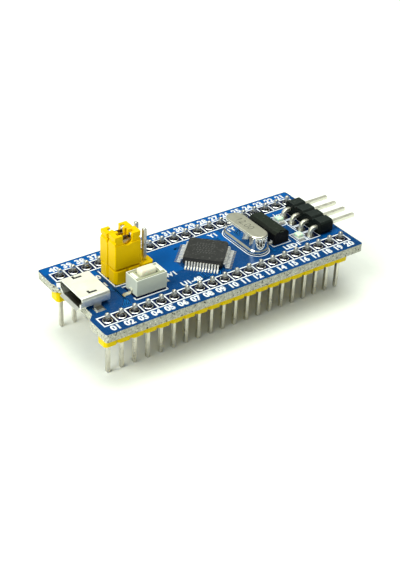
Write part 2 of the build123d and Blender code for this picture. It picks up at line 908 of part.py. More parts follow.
def regulator_leads():
    t = regulator_lead_thickness
    edge = regulator_width / 2
    tip = regulator_span / 2
    middle = under_z - regulator_height / 2
    points = [
        (edge - 2 * t, middle - t / 2),
        (edge + 2 * t, middle - t / 2),
        (edge + 2 * t, under_z - t),
        (tip, under_z - t),
        (tip, under_z),
        (edge + t, under_z),
        (edge + t, middle + t / 2),
        (edge - 2 * t, middle + t / 2),
    ]
    leads = []
    for side, y in regulator_lead_offsets():
        lead = side_profile(points, side * y, regulator_lead_width)
        turn = 0 if side > 0 else 180
        leads.append(Pos(regulator_x, regulator_y, 0) * Rot(0, 0, turn) * lead)
    return leads


def regulator_body(leads):
    high = under_z - regulator_standoff
    low = under_z - regulator_height
    body = centred_block(regulator_x, regulator_y, regulator_width, regulator_length, low, high)
    body = chamfer(body.faces().sort_by(Axis.Z)[0].edges(), regulator_lead_thickness)
    for lead in leads:
        body -= lead
    return body


# --- Pads --------------------------------------------------------------------------------------------------
def pad(x, y, length, depth):
    return centred_block(x, y, length, depth, top_z, pad_z)


def under_pad(x, y, length, depth):
    return centred_block(x, y, length, depth, under_z, board_z)


def top_pads():
    pads = []
    tab_x = usb_back_x - usb_tab_from_back
    tab_depth = usb_tab_reach + 2 * usb_wall
    for side in (-1, 1):
        y = usb_y + side * (usb_width / 2 + tab_depth / 2 - usb_wall)
        pads.append(pad(tab_x, y, usb_tab_width + 2 * usb_wall, tab_depth))
        x = reset_x + side * (reset_length / 2 + terminal_reach / 2 + terminal_thickness)
        pads.append(pad(x, reset_y, terminal_reach + terminal_thickness, terminal_width))
    middle = (usb_contact_count - 1) / 2
    for i in range(usb_contact_count):
        y = usb_y + (i - middle) * usb_contact_pitch
        x = usb_back_x + usb_tail_reach / 2 + usb_contact_thickness
        pads.append(pad(x, y, usb_tail_reach, usb_contact_width))
    lead_middle = (mcu_leads_per_side - 1) / 2
    foot_x = mcu_lead_span / 2 - mcu_foot / 2 + mcu_pad_beyond / 2
    for i in range(mcu_leads_per_side):
        y = (i - lead_middle) * mcu_lead_pitch
        strip = pad(foot_x, y, mcu_foot + mcu_pad_beyond, mcu_lead_width)
        pads += [at_mcu(Rot(0, 0, 90 * turn) * strip) for turn in range(4)]
    tab_y = clock_length / 2 - clock_tab_inset
    for sx in (-1, 1):
        for sy in (-1, 1):
            x = clock_x + sx * (clock_width / 2 + clock_tab_reach / 2)
            pads.append(pad(x, clock_y + sy * tab_y, 3 * clock_tab_reach, 2 * clock_tab_reach))
    for x, y in led_places:
        for side in (-1, 1):
            pads.append(pad(x, y + side * led_length / 2, led_width, 2 * led_end))
    return pads


def bottom_pads():
    pads = []
    for x, y in resistor_places + capacitor_places:
        for side in (-1, 1):
            pads.append(under_pad(x, y + side * chip_length / 2, chip_width, 2 * chip_end))
    tip = regulator_span / 2
    for side, y in regulator_lead_offsets():
        x = regulator_x + side * tip
        y = regulator_y + y
        pads.append(under_pad(x, y, regulator_pad_length, regulator_lead_width))
    return pads


# --- Build and write ---------------------------------------------------------------------------------------
def main():
    os.makedirs("parts", exist_ok=True)

    save("pcb", [board()])
    save("plated_holes", plated_holes())
    save("top_pads", top_pads())
    save("bottom_pads", bottom_pads())

    joint = pin_joint()
    header_top = pad_z + pin_stub
    for name, places in (("front", front_places), ("back", back_places)):
        plastic = header_plastic(places, plastic_depth, plastic_z, row_plastic_height)
        save(f"{name}_header_plastic", [plastic])
        save(f"{name}_header_pins", pins_at(places, 0, header_top))
        save(f"{name}_header_solder", joints_above(joint, places))

    boot_top = pad_z + plastic_height
    save("boot_header_plastic", [header_plastic(boot_places, pitch, pad_z, plastic_height)])
    save("boot_header_pins", pins_at(boot_places, under_z - pin_stub, boot_top + pin_reach))
    save("boot_header_solder", joints_below(joint, boot_places))
    gaps = (front_cap_gap, cap_seat_gap)
    for name, place, gap in zip(("boot1", "boot0"), jumper_places(), gaps):
        seat = Pos(place[0], place[1], boot_top + gap)
        save(f"{name}_jumper_cap", [seat * jumper_cap()])
        save(f"{name}_jumper_clip", [seat * jumper_clip()])

    save("debug_header_plastic", [debug_plastic()])
    save("debug_header_pins", [Pos(0, y, 0) * debug_pin() for x, y in debug_places])
    save("debug_header_solder", joints_below(joint, debug_places))

    contacts = usb_contacts()
    save("usb_shell", [usb_shell()])
    save("usb_contacts", contacts)
    save("usb_tongue", [usb_tongue(contacts)])

    terminals = reset_terminals()
    save("reset_terminals", terminals)
    save("reset_base", [reset_base(terminals)])
    save("reset_cover", [reset_cover()])
    save("reset_button", [reset_button()])
    save("reset_dome", [reset_dome()])

    leads = mcu_lead_bars()
    save("mcu_leads", [at_mcu(lead) for lead in leads])
    save("mcu_body", [at_mcu(mcu_body(leads))])
    save("mcu_die", [at_mcu(mcu_die_block())])
    save("mcu_die_pad", [at_mcu(mcu_die_pad_block())])

    blank = crystal_blank()
    save("crystal_can", [crystal_can()])
    save("crystal_base", [crystal_base()])
    save("crystal_seals", crystal_seals())
    save("crystal_leads", crystal_leads())
    save("crystal_blank", [blank])
    save("crystal_holders", crystal_holders(blank))
    save("crystal_solder", joints_below(lead_joint(), crystal_places))

    tube = clock_tube()
    tabs = clock_terminals()
    save("clock_crystal_tube", [tube])
    save("clock_crystal_terminals", tabs)
    save("clock_crystal_body", [clock_body(tube, tabs)])

    save("led_bases", led_bases())
    save("led_lenses", led_lenses())
    save("led_terminals", led_terminals())

    regulator = regulator_leads()
    save("regulator_leads", regulator)
    save("regulator_body", [regulator_body(regulator)])
    save("resistor_bodies", chip_bodies(resistor_places, resistor_height))
    save("resistor_ends", chip_ends(resistor_places, resistor_height))
    save("capacitor_bodies", chip_bodies(capacitor_places, capacitor_height))
    save("capacitor_ends", chip_ends(capacitor_places, capacitor_height))


main()
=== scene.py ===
"""Finishes, silkscreen, tracks and studio for the microcontroller development board."""

import math

import bpy
from mathutils import Matrix, Vector


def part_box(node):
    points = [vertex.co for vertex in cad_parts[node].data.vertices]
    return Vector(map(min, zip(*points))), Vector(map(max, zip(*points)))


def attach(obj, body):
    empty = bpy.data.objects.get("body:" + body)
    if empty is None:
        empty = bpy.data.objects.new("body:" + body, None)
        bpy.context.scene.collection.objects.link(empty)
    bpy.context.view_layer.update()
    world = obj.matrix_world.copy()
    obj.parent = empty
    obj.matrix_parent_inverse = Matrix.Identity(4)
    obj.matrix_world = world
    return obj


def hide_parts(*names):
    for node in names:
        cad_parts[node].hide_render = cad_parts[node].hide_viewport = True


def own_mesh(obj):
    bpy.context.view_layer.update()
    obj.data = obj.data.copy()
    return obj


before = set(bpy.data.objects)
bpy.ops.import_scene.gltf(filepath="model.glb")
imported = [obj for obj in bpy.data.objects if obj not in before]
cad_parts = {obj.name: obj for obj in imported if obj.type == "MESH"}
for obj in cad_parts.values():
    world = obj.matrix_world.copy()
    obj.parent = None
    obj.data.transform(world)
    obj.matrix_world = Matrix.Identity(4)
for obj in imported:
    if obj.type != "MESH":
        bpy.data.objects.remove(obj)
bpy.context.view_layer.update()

MM = 0.001
MERGE = 0.000001              # copied CAD corners closer than this are one corner
PITCH = 2.54                  # from pin to pin in every header, mm
ROW_PINS = 20
ROW_Y = 7.62                  # from the middle of the board to each pin row, mm
DEBUG_PINS = 4
DEBUG_Y = -0.1                # middle of the debug header, mm

MASK_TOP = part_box("pcb")[1].z
PAD_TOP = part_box("top_pads")[1].z
FILLET = 0.55 * MM            # height of a solder joint up its pin
TOP_SKIN = 0.3 * MM           # how far below its top a pressed shell counts as top face
INK = 0.02 * MM               # printed ink above the mask
TRACK = 0.014 * MM            # copper track lifting the mask
GROUND = 0.006 * MM           # dark patch where the copper pour stops, and the painted shade under the switch and the boot header
POUR = 0.003 * MM             # copper pour under the mask


# ---------------------------------------------------------------- node helpers
def add_node(tree, kind, inputs=None, **settings):
    """One shader node, with its settings and its linked or plain inputs."""
    made = tree.nodes.new(kind)
    for key, value in settings.items():
        setattr(made, key, value)
    for key, value in (inputs or {}).items():
        if isinstance(value, bpy.types.NodeSocket):
            tree.links.new(value, made.inputs[key])
        else:
            made.inputs[key].default_value = value
    return made


def colour(red, green, blue):
    """Opaque colour, in linear light."""
    return (red, green, blue, 1.0)


def object_point(tree):
    """Place on the object, in metres."""
    return add_node(tree, "ShaderNodeTexCoord").outputs["Object"]


def surface_normal(tree):
    return add_node(tree, "ShaderNodeTexCoord").outputs["Normal"]


def upward_part(tree, vector):
    """Z of a place or a direction."""
    return add_node(tree, "ShaderNodeSeparateXYZ", {0: vector}).outputs["Z"]


def noise(tree, point, scale, detail):
    return add_node(
        tree, "ShaderNodeTexNoise", {"Vector": point, "Scale": scale, "Detail": detail}
    ).outputs[0]


def between(tree, value, low, high):
    """Nothing up to low, rising evenly to one at high."""
    return add_node(
        tree, "ShaderNodeMapRange", {"Value": value, "From Min": low, "From Max": high}
    ).outputs[0]


def ramp(tree, value, low, high, low_colour, high_colour):
    """Colour ramp from low_colour at low to high_colour at high."""
    made = add_node(tree, "ShaderNodeValToRGB", {"Fac": value})
    made.color_ramp.elements[0].position = low
    made.color_ramp.elements[0].color = low_colour
    made.color_ramp.elements[1].position = high
    made.color_ramp.elements[1].color = high_colour
    return made.outputs["Color"]


def blend_colour(tree, factor, first, second, mode="MIX"):
    """Mix of two colours; sockets 0, 6 and 7 are the factor and the colour pair."""
    made = add_node(tree, "ShaderNodeMix", data_type="RGBA", blend_type=mode)
    for socket, value in zip((0, 6, 7), (factor, first, second)):
        if isinstance(value, bpy.types.NodeSocket):
            tree.links.new(value, made.inputs[socket])
        else:
            made.inputs[socket].default_value = value
    return made.outputs[2]


def arithmetic(tree, operation, first, second=0.0):
    """One sum on numbers or sockets."""
    made = add_node(tree, "ShaderNodeMath", operation=operation)
    for socket, value in enumerate((first, second)):
        if isinstance(value, bpy.types.NodeSocket):
            tree.links.new(value, made.inputs[socket])
        else:
            made.inputs[socket].default_value = value
    return made.outputs[0]


def new_group(name, inputs, outputs):
    """Empty shader group with named sockets; gives the tree, its inputs and its output node."""
    tree = bpy.data.node_groups.new(name, "ShaderNodeTree")
    kinds = {"value": "NodeSocketFloat", "colour": "NodeSocketColor", "vector": "NodeSocketVector"}
    for label, kind, start in inputs:
        made = tree.interface.new_socket(label, in_out="INPUT", socket_type=kinds[kind])
        made.default_value = start
    for label, kind in outputs:
        tree.interface.new_socket(label, in_out="OUTPUT", socket_type=kinds[kind])
    source = tree.nodes.new("NodeGroupInput")
    result = tree.nodes.new("NodeGroupOutput")
    return tree, source.outputs, result.inputs


def place_group(tree, group, **values):
    """Puts a shared group in a tree; gives its outputs."""
    made = tree.nodes.new("ShaderNodeGroup")
    made.node_tree = group
    for label, value in values.items():
        socket = made.inputs[label.replace("_", " ")]
        if isinstance(value, bpy.types.NodeSocket):
            tree.links.new(value, socket)
        else:
            socket.default_value = value
    return made.outputs


def upward_mask(tree, low=0.5, high=0.95):
    """One on faces that look up, nothing on walls."""
    return between(tree, upward_part(tree, surface_normal(tree)), low, high)


def uneven_gloss(tree, given, cloud):
    """A group's Gloss, made lower and higher by its Gloss spread as the clouding changes."""
    uneven = arithmetic(tree, "SUBTRACT", cloud, 0.5)
    uneven = arithmetic(tree, "MULTIPLY", uneven, given["Gloss spread"])
    return arithmetic(tree, "ADD", given["Gloss"], uneven)


# ---------------------------------------------------------------- shared effects
def build_moulded_group():
    """Moulded plastic: flow clouding in the colour, a fine spark texture, softly varied gloss."""
    tree, given, result = new_group(
        "moulded_plastic",
        [
            ("Base", "colour", (0.8, 0.8, 0.8, 1.0)),
            ("Clouded", "colour", (0.7, 0.7, 0.7, 1.0)),
            ("Grain", "value", 9000.0),
            ("Cloud", "value", 700.0),
            ("Gloss", "value", 0.3),
            ("Gloss spread", "value", 0.12),
        ],
        [("Color", "colour"), ("Roughness", "value"), ("Height", "value")],
    )
    point = object_point(tree)
    cloud = noise(tree, point, given["Cloud"], 3.0)
    grain = noise(tree, point, given["Grain"], 2.0)
    tree.links.new(blend_colour(tree, cloud, given["Base"], given["Clouded"]), result["Color"])
    tree.links.new(uneven_gloss(tree, given, cloud), result["Roughness"])
    tree.links.new(grain, result["Height"])
    return tree


def build_metal_group():
    """Rolled or plated metal: drawn streaks along one axis over a cloudy tarnish."""
    tree, given, result = new_group(
        "plated_metal",
        [
            ("Bright", "colour", (0.8, 0.8, 0.8, 1.0)),
            ("Dull", "colour", (0.5, 0.5, 0.5, 1.0)),
            ("Streak", "vector", (9000.0, 9000.0, 500.0)),
            ("Cloud", "value", 900.0),
            ("Gloss", "value", 0.25),
            ("Gloss spread", "value", 0.2),
        ],
        [("Color", "colour"), ("Roughness", "value"), ("Height", "value")],
    )
    point = object_point(tree)
    stretched = add_node(
        tree, "ShaderNodeVectorMath", {0: point, 1: given["Streak"]}, operation="MULTIPLY"
    ).outputs[0]
    streak = noise(tree, stretched, 1.0, 3.0)
    cloud = noise(tree, point, given["Cloud"], 4.0)
    tarnish = arithmetic(tree, "MULTIPLY", cloud, streak)
    tarnish = arithmetic(tree, "MULTIPLY", tarnish, 2.6)
    tree.links.new(blend_colour(tree, tarnish, given["Dull"], given["Bright"]), result["Color"])
    tree.links.new(uneven_gloss(tree, given, cloud), result["Roughness"])
    tree.links.new(streak, result["Height"])
    return tree


def build_speckle_group():
    """Settled dust and handling specks on faces that look up."""
    tree, given, result = new_group(
        "settled_dust",
        [
            ("Under", "colour", (0.5, 0.5, 0.5, 1.0)),
            ("Dust", "colour", (0.75, 0.74, 0.7, 1.0)),
            ("Amount", "value", 0.2),
            ("Size", "value", 2600.0),
        ],
        [("Color", "colour"), ("Mask", "value")],
    )
    speck = noise(tree, object_point(tree), given["Size"], 5.0)
    sharp = between(tree, speck, 0.58, 0.74)
    mask = arithmetic(tree, "MULTIPLY", sharp, upward_mask(tree, 0.2, 0.9))
    mask = arithmetic(tree, "MULTIPLY", mask, given["Amount"])
    tree.links.new(blend_colour(tree, mask, given["Under"], given["Dust"]), result["Color"])
    tree.links.new(mask, result["Mask"])
    return tree


MOULDED = build_moulded_group()
METAL = build_metal_group()
DUST = build_speckle_group()


# ---------------------------------------------------------------- finishes
def new_finish(name, **plain):
    """Material with one Principled shader; plain holds the sockets that are even all over."""
    material = bpy.data.materials.new(name)
    material.use_nodes = True
    tree = material.node_tree
    shader = tree.nodes["Principled BSDF"]
    for label, value in plain.items():
        shader.inputs[label.replace("_", " ")].default_value = value
    return material, tree, shader.inputs


def connect_relief(tree, surface, height, depth):
    """Fine relief of the given depth in mm."""
    bump = add_node(
        tree, "ShaderNodeBump", {"Height": height, "Distance": depth * MM, "Strength": 1.0}
    )
    tree.links.new(bump.outputs[0], surface["Normal"])


def connect_look(tree, surface, look, shade, relief):
    """Gives the shader its finished shade and a group's gloss and relief."""
    tree.links.new(shade, surface["Base Color"])
    tree.links.new(look["Roughness"], surface["Roughness"])
    connect_relief(tree, surface, look["Height"], relief)


def plastic(
    name, base, clouded, gloss, grain=9000.0, relief=0.002, dust=0.0, cloud=700.0, top=None, **plain
):
    """Moulded plastic or resin; top is a lighter colour painted on faces that look up, a painted
    highlight where the overhead light falls.
    """
    material, tree, surface = new_finish(name, **plain)
    look = place_group(
        tree, MOULDED, Base=base, Clouded=clouded, Grain=grain, Gloss=gloss, Cloud=cloud
    )
    shade = look["Color"]
    # painted highlight: faces that look up take the lighter top colour
    if top:
        shade = blend_colour(tree, upward_mask(tree), shade, top)
    if dust:
        shade = place_group(tree, DUST, Under=shade, Amount=dust)["Color"]
    connect_look(tree, surface, look, shade, relief)
    return material


def metal(
    name, bright, dull, gloss, streak=(9000.0, 9000.0, 500.0), relief=0.002, top=None, **plain
):
    """Rolled or plated metal; top is a lighter colour painted on faces that look up, a painted
    highlight where the overhead light falls.
    """
    plain.setdefault("Metallic", 1.0)
    material, tree, surface = new_finish(name, **plain)
    look = place_group(tree, METAL, Bright=bright, Dull=dull, Gloss=gloss, Streak=streak)
    shade = look["Color"]
    # painted highlight: faces that look up take the lighter top colour
    if top:
        shade = blend_colour(tree, upward_mask(tree), shade, top)
    connect_look(tree, surface, look, shade, relief)
    return material


def satin_topped_metal(
    name, bright, dull, gloss, satin, whiteness, streak, top, above, relief=0.0, inside=None
):
    """Pressed sheet: bright drawn walls, and a tumbled satin finish on faces above a height.

    inside is a painted shade colour for the faces that look up from below that height, such as the
    floor inside the mouth.
    """
    material, tree, surface = new_finish(name)
    look = place_group(tree, METAL, Bright=bright, Dull=dull, Gloss=gloss, Streak=streak)
    height = upward_part(tree, object_point(tree))
    outside = arithmetic(tree, "GREATER_THAN", height, above)
    upward = arithmetic(tree, "MULTIPLY", upward_mask(tree, 0.75, 0.98), outside)
    # faces above the height take the top colour multiplied into theirs
    top_tinted = blend_colour(tree, 1.0, look["Color"], top, mode="MULTIPLY")
    shade = blend_colour(tree, upward, look["Color"], top_tinted)
    # painted shade: faces that look up from below the height take the inside colour
    if inside:
        painted_shade_mask = arithmetic(tree, "SUBTRACT", 1.0, outside)
        painted_shade_mask = arithmetic(tree, "MULTIPLY", upward_mask(tree, 0.8, 0.98), painted_shade_mask)
        shade = blend_colour(tree, painted_shade_mask, shade, inside)
    tree.links.new(shade, surface["Base Color"])
    tumbled = arithmetic(tree, "MULTIPLY", upward, satin)
    tree.links.new(arithmetic(tree, "ADD", look["Roughness"], tumbled), surface["Roughness"])
    pale = arithmetic(tree, "MULTIPLY", upward, whiteness)
    tree.links.new(arithmetic(tree, "SUBTRACT", 1.0, pale), surface["Metallic"])
    if relief:
        connect_relief(tree, surface, look["Height"], relief)
    return material


def make_solder_mask():
    """Glossy blue mask on the faces, bare glass-fibre laminate on the routed edges."""
    material, tree, surface = new_finish(
        "blue_solder_mask", Specular_IOR_Level=0.14, Specular_Tint=colour(0.05, 0.45, 1.0)
    )
    facing = upward_part(tree, surface_normal(tree))
    on_face = arithmetic(tree, "GREATER_THAN", arithmetic(tree, "ABSOLUTE", facing), 0.5)
    point = object_point(tree)
    cloud = noise(tree, point, 240.0, 4.0)
    mask_blue = ramp(tree, cloud, 0.35, 0.7, colour(0.001, 0.038, 0.145), colour(0.001, 0.052, 0.2))
    weave = add_node(
        tree,
        "ShaderNodeTexWave",
        {"Vector": point, "Scale": 950.0, "Distortion": 1.5, "Detail": 1.0},
        wave_type="BANDS",
        bands_direction="DIAGONAL",
    ).outputs["Fac"]
    mask_blue = blend_colour(
        tree, arithmetic(tree, "MULTIPLY", weave, 0.05), mask_blue, colour(0.01, 0.13, 0.4)
    )
    mask_blue = place_group(tree, DUST, Under=mask_blue, Amount=0.08, Size=5200.0)["Color"]
    fibre = add_node(
        tree,
        "ShaderNodeTexNoise",
        {"Vector": point, "Scale": 3300.0, "Detail": 4.0, "Roughness": 0.7},
    ).outputs[0]
    laminate = ramp(tree, fibre, 0.36, 0.62, colour(0.28, 0.28, 0.23), colour(0.62, 0.62, 0.53))
    # dark specks in the edge, and white spots that are painted glints off the glass fibres
    for scale, low, high, shade in (
        (2100.0, 0.62, 0.66, colour(0.05, 0.05, 0.04)),
        (2700.0, 0.64, 0.68, colour(0.9, 0.9, 0.84)),
    ):
        spot = between(tree, noise(tree, point, scale, 3.0), low, high)
        laminate = blend_colour(tree, spot, laminate, shade)
    tree.links.new(blend_colour(tree, on_face, laminate, mask_blue), surface["Base Color"])
    gloss = add_node(
        tree, "ShaderNodeMapRange", {"Value": cloud, "To Min": 0.2, "To Max": 0.34}
    ).outputs[0]
    dull = arithmetic(tree, "SUBTRACT", 1.0, on_face)
    dull = arithmetic(tree, "MULTIPLY", dull, 0.5)
    tree.links.new(arithmetic(tree, "ADD", gloss, dull), surface["Roughness"])
    rough_edge = arithmetic(tree, "MULTIPLY", fibre, arithmetic(tree, "MULTIPLY", dull, 2.0))
    faint = arithmetic(tree, "MULTIPLY", weave, 0.04)
    connect_relief(tree, surface, arithmetic(tree, "ADD", rough_edge, faint), 0.05)
    return material


def make_ink():
    """Screen-printed white ink, slightly thin in places."""
    material, tree, surface = new_finish("white_ink", IOR=1.45)
    look = place_group(
        tree,
        MOULDED,
        Base=colour(0.9, 0.92, 0.94),
        Clouded=colour(0.72, 0.78, 0.86),
        Grain=14000.0,
        Gloss=0.5,
        Cloud=2600.0,
    )
    connect_look(tree, surface, look, look["Color"], 0.004)
    return material


def make_solder():
    """Solder fillet with painted light: a painted highlight where it meets the ring, a painted dark
    reflection in its hollow, grey up the pin.
    """
    material, tree, surface = new_finish("solder_joint", Metallic=1.0)
    look = place_group(
        tree,
        METAL,
        Bright=colour(0.95, 0.95, 0.92),
        Dull=colour(0.7, 0.7, 0.68),
        Gloss=0.18,
        Streak=(2500.0, 2500.0, 2500.0),
    )
    # painted highlight and reflection by height: white at the ring, near-black in the hollow, grey
    # higher up
    height = upward_part(tree, object_point(tree))
    climb = between(tree, height, PAD_TOP, PAD_TOP + FILLET)
    made = add_node(tree, "ShaderNodeValToRGB", {"Fac": climb})
    stops = made.color_ramp.elements
    stops[0].position = 0.04
    stops[0].color = colour(1.0, 1.0, 1.0)
    stops[1].position = 0.11
    stops[1].color = colour(0.03, 0.035, 0.05)
    stops.new(0.55).color = colour(0.05, 0.05, 0.06)
    stops.new(0.85).color = colour(0.4, 0.4, 0.38)
    painted_reflections = blend_colour(tree, 1.0, look["Color"], made.outputs["Color"], mode="MULTIPLY")
    connect_look(tree, surface, look, painted_reflections, 0.01)
    return material


# each finish: name, main colour, colour of its clouding or tarnish, gloss, and what else it needs
FINISH = {
    "mask": make_solder_mask(),
    "ink": make_ink(),
    # bare mask over the laminate, also painted shade under the switch and the boot header
    "bare_mask_and_painted_shade": plastic(
        "laminate_mask_and_painted_shade", colour(0.001, 0.005, 0.035), colour(0.001, 0.008, 0.055), 0.25,
        Specular_IOR_Level=0.25, Specular_Tint=colour(0.2, 0.5, 1.0),
    ),
    "track_mask": plastic(
        "mask_over_copper", colour(0.002, 0.1, 0.34), colour(0.003, 0.12, 0.4), 0.22,
        Specular_IOR_Level=0.3, Specular_Tint=colour(0.12, 0.55, 1.0),
    ),
    "pour_mask": plastic(
        "mask_over_pour", colour(0.001, 0.07, 0.28), colour(0.001, 0.1, 0.38), 0.25, cloud=240.0,
        Specular_IOR_Level=0.18, Specular_Tint=colour(0.05, 0.45, 1.0),
    ),
    # near-black latch springs: painted shade inside the socket's slots
    "recess": plastic("painted_slot_shade", colour(0.004, 0.004, 0.004), colour(0.007, 0.006, 0.005), 0.7),
    "marking": plastic("laser_marking", colour(0.1, 0.1, 0.1), colour(0.07, 0.07, 0.07), 0.7),
    "engraving": plastic("can_engraving", colour(0.16, 0.16, 0.13), colour(0.1, 0.1, 0.08), 0.5),
    "solder": make_solder(),
    "tinned": metal(
        "tinned_copper", colour(0.88, 0.87, 0.83), colour(0.62, 0.6, 0.56), 0.24,
        streak=(3000.0, 3000.0, 3000.0), relief=0.006,
    ),
    "pin": metal(
        "pin_plating", colour(0.74, 0.72, 0.64), colour(0.44, 0.42, 0.36), 0.3,
        # top: painted highlight on the pins' up-facing faces
        top=colour(0.8, 0.79, 0.74),
    ),
    "pale_pin": metal("debug_pin_plating", colour(0.86, 0.85, 0.74), colour(0.7, 0.69, 0.6), 0.45),
    "yellow": plastic(
        "header_yellow", colour(0.86, 0.64, 0.001), colour(0.76, 0.54, 0.001), 0.32,
        relief=0.003, Specular_IOR_Level=0.2, Specular_Tint=colour(1.0, 0.85, 0.1),
    ),
    "cap_yellow": plastic(
        "cap_yellow", colour(0.84, 0.55, 0.0002), colour(0.77, 0.49, 0.0002), 0.3,
        relief=0.003, Specular_IOR_Level=0.14, Specular_Tint=colour(1.0, 0.8, 0.0),
    ),
    "black": plastic(
        "header_black", colour(0.001, 0.003, 0.003), colour(0.002, 0.004, 0.004), 0.42,
        # top: painted highlight on the black header's up-facing faces
        relief=0.004, dust=0.05, top=colour(0.018, 0.024, 0.022), Specular_IOR_Level=0.1,
    ),
    "bronze": metal("clip_bronze", colour(0.62, 0.46, 0.24), colour(0.1, 0.06, 0.03), 0.22),
    "shell": satin_topped_metal(
        "shell_steel", colour(0.92, 0.93, 0.88), colour(0.8, 0.81, 0.76), 0.4, 0.12, 0.5,
        (300.0, 900.0, 900.0), colour(0.93, 0.93, 0.88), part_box("usb_shell")[1].z - TOP_SKIN,
        # painted shade on the up-facing faces below the top, such as the floor inside the mouth
        inside=colour(0.2, 0.19, 0.16),
    ),
    "tongue": plastic("tongue_plastic", colour(0.05, 0.055, 0.05), colour(0.08, 0.085, 0.08), 0.4),
    "gold": metal("contact_gold", colour(0.95, 0.72, 0.32), colour(0.7, 0.5, 0.2), 0.2),
    "switch": plastic(
        "switch_housing", colour(0.66, 0.7, 0.61), colour(0.58, 0.63, 0.55), 0.34, dust=0.1,
        # top: painted highlight on the switch housing's up-facing faces
        top=colour(0.86, 0.88, 0.8),
    ),
    "switch_cover": plastic(
        "switch_cover", colour(0.02, 0.022, 0.018), colour(0.03, 0.032, 0.028), 0.38, dust=0.1,
        # top: painted highlight on the switch cover's top
        top=colour(0.36, 0.38, 0.26),
    ),
    "ivory": plastic(
        "button_ivory", colour(0.82, 0.8, 0.64), colour(0.77, 0.75, 0.59), 0.3,
        dust=0.06, Subsurface_Weight=0.1, Subsurface_Scale=0.001,
    ),
    "spring": metal("spring_steel", colour(0.75, 0.74, 0.72), colour(0.5, 0.49, 0.47), 0.25),
    "brass": metal(
        "terminal_brass", colour(0.98, 0.94, 0.8), colour(0.9, 0.8, 0.55), 0.34,
        # top: whiter up-facing faces, for the solder on them and a painted highlight
        top=colour(1.0, 0.98, 0.9),
    ),
    "package": plastic(
        "package_black", colour(0.014, 0.015, 0.015), colour(0.026, 0.027, 0.026), 0.5,
        grain=7000.0, relief=0.008, dust=0.1, Specular_IOR_Level=0.35,
    ),
    "lead": metal(
        "lead_tin", colour(0.95, 0.95, 0.92), colour(0.82, 0.82, 0.79), 0.36, Metallic=0.55,
    ),
    "silicon": plastic("silicon_die", colour(0.1, 0.11, 0.13), colour(0.14, 0.15, 0.17), 0.2),
    "copper": metal("copper_plate", colour(0.85, 0.5, 0.36), colour(0.55, 0.28, 0.18), 0.3),
    "nickel": satin_topped_metal(
        "can_nickel", colour(0.92, 0.91, 0.84), colour(0.84, 0.83, 0.76), 0.07, 0.33, 0.3,
        (2400.0, 260.0, 2400.0), colour(0.6, 0.6, 0.53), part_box("crystal_can")[1].z - TOP_SKIN,
        relief=0.0004,
    ),
    "seal": plastic("seal_glass", colour(0.03, 0.06, 0.05), colour(0.05, 0.09, 0.08), 0.1),
    "quartz": plastic("quartz_plate", colour(0.7, 0.7, 0.66), colour(0.6, 0.6, 0.56), 0.1),
    "led_base": plastic("led_base", colour(0.88, 0.9, 0.85), colour(0.8, 0.84, 0.78), 0.4),
    "led_lens": plastic(
        "led_resin", colour(0.62, 0.82, 0.64), colour(0.74, 0.88, 0.74), 0.2,
        Subsurface_Weight=0.3, Subsurface_Scale=0.001,
    ),
    "clock_package": plastic(
        "clock_package", colour(0.002, 0.002, 0.002), colour(0.004, 0.004, 0.004), 0.4,
        # top: painted highlight on the clock crystal's top
        top=colour(0.016, 0.022, 0.016), dust=0.06, Specular_IOR_Level=0.12,
    ),
    "resistor": plastic(
        "resistor_black", colour(0.015, 0.015, 0.016), colour(0.03, 0.03, 0.03), 0.3,
    ),
    "capacitor": plastic("capacitor_tan", colour(0.46, 0.32, 0.2), colour(0.38, 0.26, 0.16), 0.35),
}

NODE_FINISH = {
    "mask": ["pcb"],
    "tinned": ["plated_holes", "top_pads", "bottom_pads"],
    "solder": [
        "front_header_solder", "back_header_solder", "boot_header_solder",
        "debug_header_solder", "crystal_solder",
    ],
    "yellow": ["front_header_plastic", "back_header_plastic", "boot_header_plastic"],
    "cap_yellow": ["boot0_jumper_cap", "boot1_jumper_cap"],
    "black": ["debug_header_plastic"],
    "pin": ["front_header_pins", "back_header_pins", "boot_header_pins"],
    "pale_pin": ["debug_header_pins"],
    "bronze": ["boot0_jumper_clip", "boot1_jumper_clip"],
    "shell": ["usb_shell"],
    "tongue": ["usb_tongue"],
    "gold": ["usb_contacts"],
    "switch": ["reset_base"],
    "switch_cover": ["reset_cover"],
    "ivory": ["reset_button"],
    "spring": ["reset_dome", "crystal_holders"],
    "brass": ["reset_terminals"],
    "package": ["mcu_body", "regulator_body"],
    "clock_package": ["clock_crystal_body"],
    "lead": [
        "mcu_leads", "crystal_leads", "clock_crystal_terminals", "led_terminals",
        "regulator_leads", "resistor_ends", "capacitor_ends",
    ],
    "silicon": ["mcu_die"],
    "copper": ["mcu_die_pad"],
    "nickel": ["crystal_can", "crystal_base", "clock_crystal_tube"],
    "seal": ["crystal_seals"],
    "quartz": ["crystal_blank"],
    "led_base": ["led_bases"],
    "led_lens": ["led_lenses"],
    "resistor": ["resistor_bodies"],
    "capacitor": ["capacitor_bodies"],
}


def dress(piece, finish):
    """Leaves the piece with one finish."""
    piece.data.materials.clear()
    piece.data.materials.append(FINISH[finish])


for finish_name, node_names in NODE_FINISH.items():
    for node_name in node_names:
        dress(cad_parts[node_name], finish_name)


# ---------------------------------------------------------------- modelling helpers
def choose(*pieces):
    """Selects these pieces only; the last one is active."""
    bpy.ops.object.select_all(action="DESELECT")
    for piece in pieces:
        piece.select_set(True)
    bpy.context.view_layer.objects.active = pieces[-1]


def apply_modifier(piece, kind, **settings):
    """Adds a modifier and applies it at once."""
    choose(piece)
    made = piece.modifiers.new(kind.lower(), kind)
    for key, value in settings.items():
        setattr(made, key, value)
    bpy.ops.object.modifier_apply(modifier=made.name)


loose_artwork = []            # flat shapes waiting to be joined into one piece


